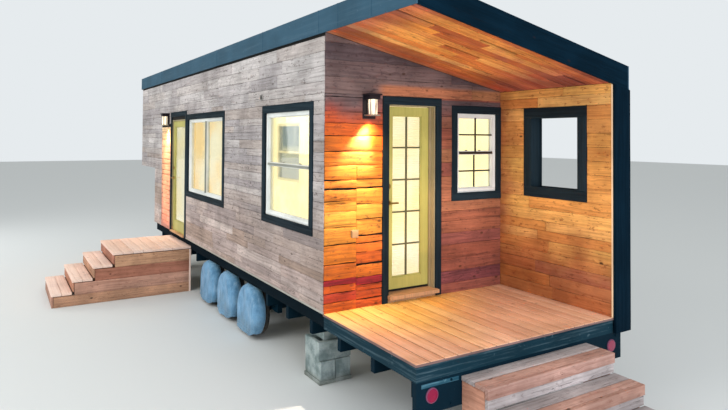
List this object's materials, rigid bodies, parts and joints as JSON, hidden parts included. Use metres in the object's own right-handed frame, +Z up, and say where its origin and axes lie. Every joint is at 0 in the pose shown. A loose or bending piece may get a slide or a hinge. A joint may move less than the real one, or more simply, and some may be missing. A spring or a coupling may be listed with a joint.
{
  "type": "tiny house on wheels",
  "caption": "Tiny house on a gooseneck trailer with a covered porch, board siding, glazed doors, windows, cloth-covered wheels and box steps at both doors.",
  "frame": {"origin": "centre of the whole object's bounding box, at ground level", "axes": "+Z up; +Y along the house from the porch to the raised sleeping box; +X across from the long window wall to the opposite side"},
  "size_m": [4.707, 11.567, 3.9033],
  "materials": {
    "steel_frame": "dark painted steel, dusty",
    "tyre": "black rubber",
    "cover_cloth": "grey-blue woven cover cloth",
    "concrete": "rough grey concrete block",
    "floor_wood": "oiled boards",
    "deck_cedar": "oiled cedar decking",
    "red_lens": "red lens",
    "siding_grey": "weathered reclaimed boards",
    "siding_warm": "oiled reclaimed boards",
    "roof_metal": "slate-blue standing seam sheet",
    "fascia_metal": "slate-blue folded sheet",
    "navy_board": "dark navy paint",
    "ceiling_wood": "oiled reclaimed boards",
    "white_vinyl": "white vinyl",
    "glass": "clear glass",
    "slate_trim": "dark slate paint",
    "jamb_wood": "tan painted wood",
    "door_green": "yellow-green paint",
    "brass": "satin brass",
    "lamp_bronze": "dark bronze paint",
    "dark_plastic": "dark plastic",
    "step_cedar": "weathered cedar boards"
  },
  "bodies": {
    "root": {"axles": "steel_frame", "block_piers": "concrete", "bumper": "steel_frame", "cross_members": "steel_frame", "door_trim": "slate_trim", "end_fascias": "navy_board", "end_wall": "siding_grey", "floor": "floor_wood", "front_steps": "step_cedar", "front_treads": "step_cedar", "gooseneck": "steel_frame", "landing_legs": "steel_frame", "leaf_springs": "steel_frame", "left_wall_far": "siding_grey", "left_wall_near": "siding_grey", "left_wall_over_door": "siding_grey", "left_window_frames": "white_vinyl", "loft_end_wall": "siding_grey", "loft_floor": "floor_wood", "loft_window_frame": "white_vinyl", "lookout_frame": "slate_trim", "porch_ceiling": "ceiling_wood", "porch_deck": "deck_cedar", "porch_door_frame": "jamb_wood", "porch_end_board": "navy_board", "porch_outlet": "dark_plastic", "porch_rim": "steel_frame", "porch_side_wall": "siding_warm", "porch_wall_left": "siding_warm", "porch_wall_over_door": "siding_warm", "porch_wall_right": "siding_warm", "porch_window_frame": "white_vinyl", "right_wall": "siding_grey", "right_window_frames": "white_vinyl", "roof_panel": "roof_metal", "side_door_frame": "jamb_wood", "side_fascias": "fascia_metal", "side_steps": "step_cedar", "side_treads": "step_cedar", "tail_lights": "red_lens", "trailer_rails": "steel_frame", "wall_lights": "lamp_bronze", "wall_vent": "dark_plastic", "wheel_covers": "cover_cloth", "wheels": "tyre", "window_glass": "glass", "window_trim": "slate_trim"},
    "side_door": {"side_door_leaf": "door_green", "side_door_glass": "glass", "side_door_handle": "brass"},
    "porch_door": {"porch_door_leaf": "door_green", "porch_door_glass": "glass", "porch_door_handle": "brass"}
  },
  "joints": [
    {"name": "side_door_hinge", "type": "hinge", "parent": "root", "child": "side_door", "pos_m": [-0.2795, 2.107, 0.889], "axis": [0, 0, 1], "range_deg": [0, 100]},
    {"name": "porch_door_hinge", "type": "hinge", "parent": "root", "child": "porch_door", "pos_m": [1.101, -2.8975, 0.946], "axis": [0, 0, -1], "range_deg": [0, 100]}
  ]
}
